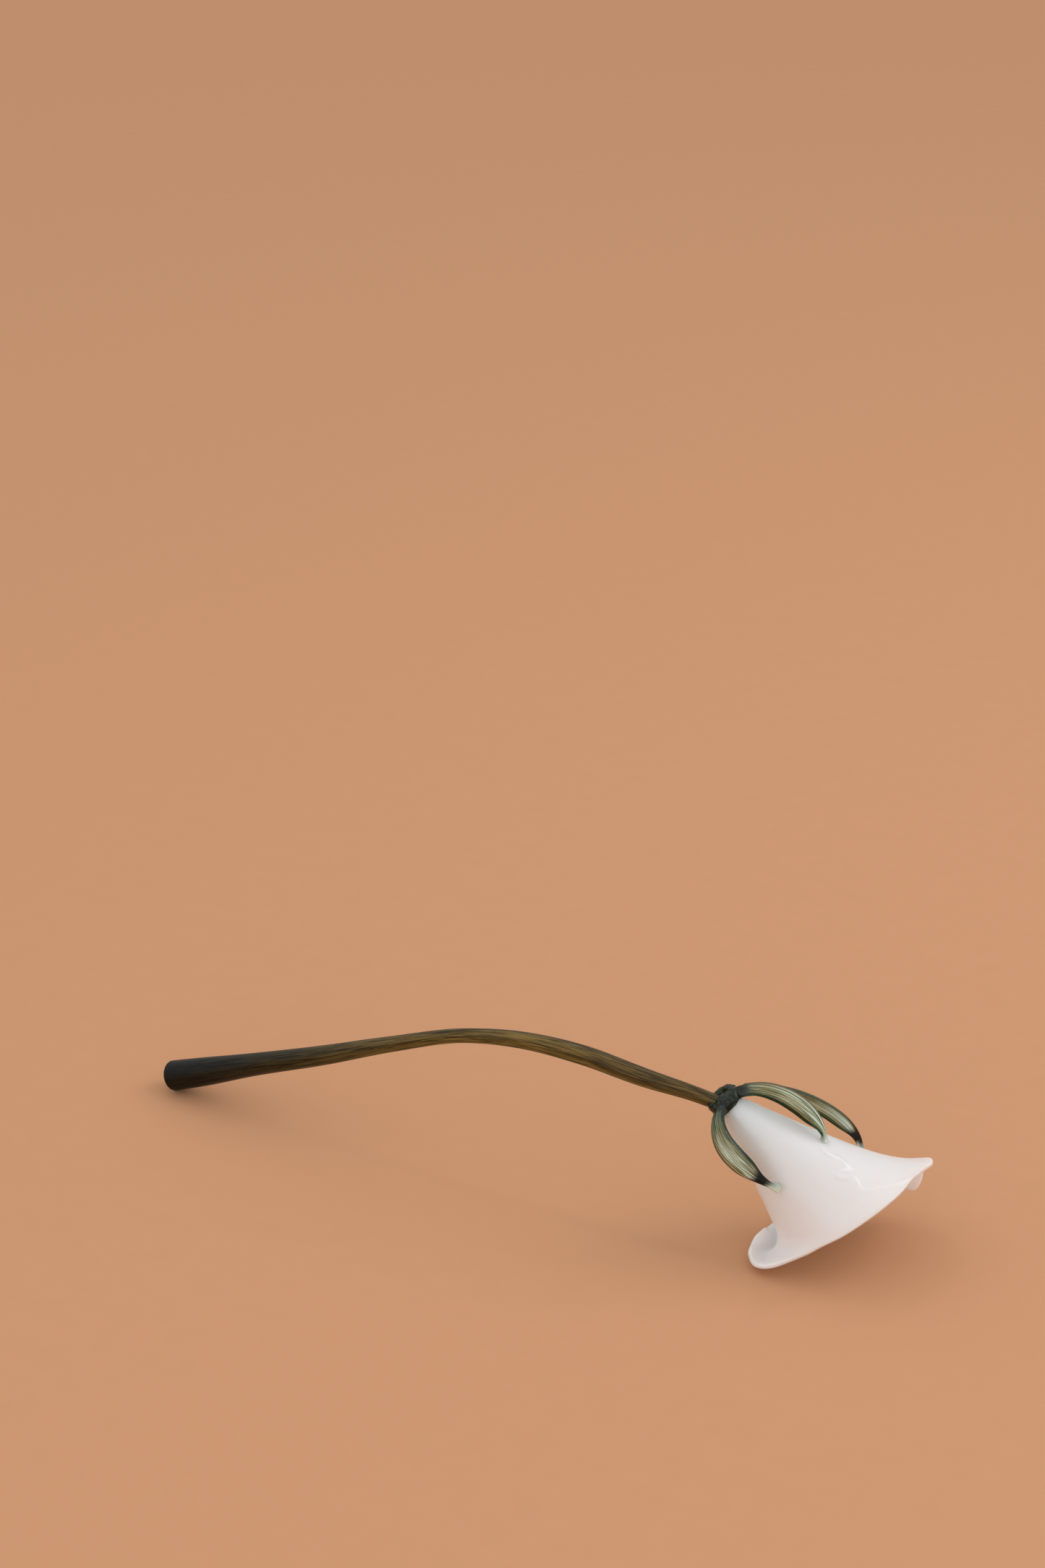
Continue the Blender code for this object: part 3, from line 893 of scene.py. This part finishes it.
def olive_glass():
    finish = Finish("olive_glass")
    grain = finish.attribute("grain", "Vector")
    along = finish.parts(grain)[2]
    threads = finish.clouds(finish.stretched(grain, (1.0, 1.0, 4.0)), 13.0, detail=3.0, roughness=0.65)
    bands = finish.clouds(finish.stretched(grain, (1.0, 1.0, 8.0)), 2.2)
    patches = finish.clouds(finish.stretched(grain, (0.4, 0.4, 30.0)), 1.5)
    light = finish.between(threads * 0.7 + bands * 0.3, 0.44, 0.58)
    colour = finish.mix(light, *OLIVE_THICK)
    for start, end, dark_streak, light_streak in OLIVE_CHANGES:
        streaks = finish.mix(light, dark_streak, light_streak)
        colour = finish.mix(finish.between(along, start, end), colour, streaks)
    finish.feed(
        finish.shader,
        {
            "Base Color": colour,
            "Roughness": finish.between(patches, 0.3, 0.8) * 0.10 + 0.32,
            "Transmission Weight": 0.6,
            "IOR": WRINKLED_IOR,
            "Normal": finish.bump(threads, strength=0.3, distance=0.0003),
        },
    )
    finish.absorb(OLIVE_LETS_THROUGH, OLIVE_DENSITY)
    return finish.material


# %% [markdown]
# ## Green glass for the calyx
# The straps are combed, so paler and darker streaks lie side by side along them. Both edges are
# painted dark, a painted shade for the dark outline that glass shows at its edges. Milky glass lies
# over the clear in streaks, more of it towards the feet, and away from the edges these streaks and a
# haze are partly a painted highlight. Two of the sepals have a nearly black spot above the foot. The
# collar is the same glass, only thicker. One material does all of it, because every change follows
# the grain or the collar's mask.

# %% The calyx's material
# Lower than glass, which keeps the ceiling's reflection on the dark collar weak
CALYX_IOR = 1.38
DARK_STREAK = (0.11, 0.16, 0.06)
PALE_STREAK = (0.80, 0.88, 0.58)
BROWN_BAND = (0.44, 0.38, 0.15)
# Painted shade at both edges of a strap, for the dark outline of glass edges
PAINTED_EDGE_SHADE = (0.012, 0.060, 0.026)
DARK_THREAD = (0.02, 0.06, 0.03)
ROOT_GREEN = (0.035, 0.085, 0.030)
SPOT_GREEN = (0.001, 0.003, 0.002)
COLLAR_GREEN = (0.010, 0.036, 0.008)
# Milky glass, and partly a painted highlight along the straps
MILK_AND_HIGHLIGHT_GREEN = (0.72, 0.82, 0.70)
GREEN_LETS_THROUGH = (0.45, 0.75, 0.50)
GREEN_DENSITY = 90.0
# Where along a sepal its dark spot is, how far it reaches, and the share of that which is fully dark
SPOT_PLACE = 0.84
SPOT_REACH = 0.09
SPOT_CORE = 0.35


def dark_spot(finish, along, number):
    """A mask for the nearly black spot above the feet of the sepals numbered 1 and 2."""
    gap = along - SPOT_PLACE
    near = finish.between(gap * gap, SPOT_REACH**2, (SPOT_CORE * SPOT_REACH) ** 2)
    return near * finish.between(number, 0.4, 0.6) * finish.between(number, 2.6, 2.4)


def streaked_green(finish, across, along, threads, bands):
    """The colour of a clear strap: streaks, a brown band, painted shade at both edges, dark threads, and
    a dark root.
    """
    light = finish.between(threads, 0.40, 0.60)
    colour = finish.mix(light, DARK_STREAK, PALE_STREAK)
    colour = finish.mix(finish.between(bands, 0.45, 0.60) * 0.6, colour, BROWN_BAND)
    # Both edges are painted darker: a painted shade for the dark outline of glass edges
    edge_shade = finish.between(across * across + threads * 0.6, 0.76, 1.02)
    colour = finish.mix(edge_shade, colour, PAINTED_EDGE_SHADE)
    colour = finish.mix(finish.between(threads, 0.46, 0.38) * 0.85, colour, DARK_THREAD)
    return finish.mix(finish.between(along, 0.45, 0.10) * 0.4, colour, ROOT_GREEN)


def milk_and_highlight_share(finish, across, along, threads, bands, spot):
    """How much milky glass lies over the clear: streaks and haze away from the edges, which are partly a
    painted highlight, and the foot.
    """
    middle = finish.between(across * across, 0.50, 0.05)
    lower = finish.between(along, 0.30, 0.70)
    foot = finish.between(along, 0.90, 0.97) * 0.5
    # The streaks and haze are partly a painted highlight along the strap's middle
    streaks = finish.between(threads, 0.51, 0.57) * (lower * 0.75 + 0.3)
    haze = finish.between(bands, 0.48, 0.58) * lower * 0.5
    return (streaks + haze) * middle * (1 - spot) + foot


def green_glass():
    finish = Finish("green_glass")
    grain = finish.attribute("grain", "Vector")
    across, along, number = finish.parts(grain)
    threads = finish.clouds(finish.stretched(grain, (1.0, 0.20, 5.0)), 9.0, detail=3.0, roughness=0.6)
    bands = finish.clouds(finish.stretched(grain, (1.0, 0.9, 5.0)), 1.6)
    spot = dark_spot(finish, along, number)
    collar_glass = finish.between(finish.attribute("collar"), 0.25, 0.6)
    colour = streaked_green(finish, across, along, threads, bands)
    colour = finish.mix(spot, colour, SPOT_GREEN)
    colour = finish.mix(collar_glass, colour, COLLAR_GREEN)
    lumps = finish.clouds(finish.node("ShaderNodeTexCoord", output="Object"), 600.0)
    finish.feed(
        finish.shader,
        {
            "Base Color": colour,
            "Roughness": 0.04,
            "Transmission Weight": 0.85,
            "IOR": CALYX_IOR,
            "Normal": finish.bump(threads + lumps * collar_glass, strength=0.35, distance=0.0003),
        },
    )
    # Milky glass over the clear, partly a painted highlight along the straps
    milky = milk_and_highlight_share(finish, across, along, threads, bands, spot)
    finish.cover(milky * finish.between(collar_glass, 0.6, 0.1), MILK_AND_HIGHLIGHT_GREEN, roughness=0.14)
    finish.absorb(GREEN_LETS_THROUGH, GREEN_DENSITY)
    return finish.material


# %% [markdown]
# ## Opal glass for the bloom
# Opal glass is white because light scatters inside it. A volume that scatters would be truest, but it
# is slow and grainy, so subsurface scattering stands in for it. The glass looks cool and greenish where
# it is thick at the neck, and a little pink where it is blown thin. The skin is satin, and the fire
# has left it glossy in places, most of all on the trail, which is also painted whiter as a painted
# highlight.

# %% The bloom's material
COOL_WHITE = (0.90, 0.935, 0.95)
PINK_WHITE = (0.92, 0.885, 0.885)
NECK_WHITE = (0.86, 0.91, 0.90)
# Painted highlight: the whiter colour painted along the glossy trail
TRAIL_HIGHLIGHT_WHITE = (0.93, 0.94, 0.94)


def opal_glass():
    finish = Finish("opal_glass")
    grain = finish.attribute("grain", "Vector")
    along = finish.parts(grain)[2]
    clouds = finish.clouds(finish.stretched(grain, (1.0, 1.0, 18.0)), 1.6, detail=3.0)
    waves = finish.clouds(finish.stretched(grain, (1.0, 1.0, 30.0)), 2.5, detail=1.0)
    trail = finish.attribute("trail")
    pink = finish.between(clouds, 0.42, 0.66) * finish.between(along, 0.02, 0.06)
    colour = finish.mix(pink, COOL_WHITE, PINK_WHITE)
    colour = finish.mix(finish.between(along, 0.035, 0.0), colour, NECK_WHITE)
    # Painted highlight: the trail is painted whiter along the glossy thread
    colour = finish.mix(trail * 0.7, colour, TRAIL_HIGHLIGHT_WHITE)
    finish.feed(
        finish.shader,
        {
            "Base Color": colour,
            "Roughness": finish.between(clouds, 0.3, 0.7) * 0.12 + 0.36 - trail * 0.26,
            "IOR": GLASS_IOR,
            "Coat Weight": trail * 0.6 + 0.15,
            "Coat Roughness": 0.12,
            "Normal": finish.bump(waves, strength=0.12, distance=0.0012),
            "Subsurface Weight": 1.0,
            "Subsurface Radius": (1.0, 0.85, 0.78),
            "Subsurface Scale": 0.015,
        },
    )
    return finish.material


# %% Each piece gets its glass
def dress(piece, material, node):
    piece.data.materials.clear()
    piece.data.materials.append(material)
    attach(piece, "root")
    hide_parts(node)
    print(piece.name, "is made of", material.name)


dress(stem, olive_glass(), "stem")
dress(calyx, green_glass(), "calyx")
dress(bloom, opal_glass(), "bloom")

# %% [markdown]
# ## The table, the light and the camera
# The flower lies on a plain sheet of pale warm paper. A large soft light far off to the right and
# behind throws the shadows. A weak one in front fills them, and a small one high on the left stands
# for a window that glints in the glass. The room is bright overhead and in front and dimmer behind,
# so that the glass keeps its dark outlines. A panorama of a real room would do as well, but a gradient
# and three lamps can each be moved until the shadows fall right. The camera looks down on the flower
# from its near side. It is placed by the stem's end, which has to come to a chosen point of the picture
# at a chosen distance.

# %% The paper
PAPER_SIZE = 12.0
PAPER_PLACE = (0.0, 2.0, 0.0)
PAPER_SHADES = ((0.552, 0.282, 0.150), (0.574, 0.292, 0.156))


def paper():
    bpy.ops.object.select_all(action="DESELECT")
    bpy.ops.mesh.primitive_plane_add(size=PAPER_SIZE, location=PAPER_PLACE)
    sheet = bpy.context.object
    sheet.name = "paper"
    bpy.ops.object.transform_apply(location=True, rotation=True, scale=True)
    finish = Finish("warm_paper")
    fibres = finish.clouds(finish.node("ShaderNodeTexCoord", output="Object"), 60.0)
    colour = finish.mix(fibres, *PAPER_SHADES)
    finish.feed(finish.shader, {"Base Color": colour, "Roughness": 0.9, "Specular IOR Level": 0.1})
    sheet.data.materials.append(finish.material)
    print(sheet.name, "is", PAPER_SIZE, "m wide")


paper()

# %% The lights
# Name, diameter, power, place and the point that it faces
LIGHTS = [
    ("right_light", 1.7, 15.0, (1.65, 1.10, 1.90), (0.12, 0.0, 0.0)),
    ("front_light", 1.2, 3.0, (0.35, -1.60, 0.55), (0.12, 0.0, 0.03)),
    ("window_light", 0.05, 0.35, (-0.35, 0.25, 1.2), (0.0, 0.0, 0.05)),
]


def soft_light(name, size, power, place, target):
    lamp = bpy.data.lights.new(name, "AREA")
    lamp.shape = "DISK"
    lamp.size = size
    lamp.energy = power
    light = bpy.data.objects.new(name, lamp)
    bpy.context.scene.collection.objects.link(light)
    light.location = place
    light.rotation_euler = (Vector(target) - Vector(place)).to_track_quat("-Z", "Y").to_euler()
    print(name, "gives", power, "W")


for light_line in LIGHTS:
    soft_light(*light_line)

# %% The room
ROOM_DIM = (0.50, 0.50, 0.50)
ROOM_BRIGHT = (0.96, 0.96, 0.96)
# Where the room is brightest, and from and to how far that way it gets bright
ROOM_BRIGHT_SIDE = (0.15, -0.40, 1.0)
ROOM_DIM_TO = -0.1
ROOM_BRIGHT_FROM = 0.6


def gradient_room():
    world = bpy.data.worlds.new("room")
    world.use_nodes = True
    nodes = Nodes(world.node_tree)
    direction = nodes.node("ShaderNodeTexCoord", output="Generated")
    product = {"operation": "DOT_PRODUCT"}
    facing = nodes.node("ShaderNodeVectorMath", product, {0: direction, 1: ROOM_BRIGHT_SIDE}, "Value")
    limits = {"Value": facing, "From Min": ROOM_DIM_TO, "From Max": ROOM_BRIGHT_FROM}
    brightness = nodes.node("ShaderNodeMapRange", {"interpolation_type": "SMOOTHSTEP"}, limits)
    colour = nodes.mix(brightness, ROOM_DIM, ROOM_BRIGHT)
    nodes.feed(world.node_tree.nodes["Background"], {"Color": colour})
    bpy.context.scene.world = world
    bpy.context.scene.view_settings.view_transform = "Standard"
    print("the room goes from", ROOM_DIM[0], "to", ROOM_BRIGHT[0])


gradient_room()

# %% The camera
PICTURE_SIZE = (1445, 2168)
CAMERA_AZIMUTH = 28
CAMERA_PITCH = 23.2
CAMERA_LENS = 70
SENSOR = 36
CAMERA_SEES_TO = 50.0
# Where the stem's end is in the picture, and how far in front of the camera
STEM_END_PIXEL = (246, 1507)
STEM_END_DEPTH = 1.77


def aim_camera():
    bpy.ops.object.select_all(action="DESELECT")
    turn = (math.radians(90 - CAMERA_PITCH), 0.0, math.radians(CAMERA_AZIMUTH))
    bpy.ops.object.camera_add(rotation=turn)
    camera = bpy.context.object
    camera.name = "camera"
    camera.data.lens = CAMERA_LENS
    camera.data.sensor_width = SENSOR
    camera.data.clip_end = CAMERA_SEES_TO
    bpy.context.view_layer.update()
    view = camera.matrix_world.to_3x3()
    pixels = CAMERA_LENS / SENSOR * PICTURE_SIZE[1]
    right = (STEM_END_PIXEL[0] - PICTURE_SIZE[0] / 2) / pixels
    up = (PICTURE_SIZE[1] / 2 - STEM_END_PIXEL[1]) / pixels
    camera.location = step_to_frame - view @ (Vector((right, up, -1.0)) * STEM_END_DEPTH)
    bpy.context.scene.camera = camera
    print("camera at", [round(value, 4) for value in camera.location])


aim_camera()
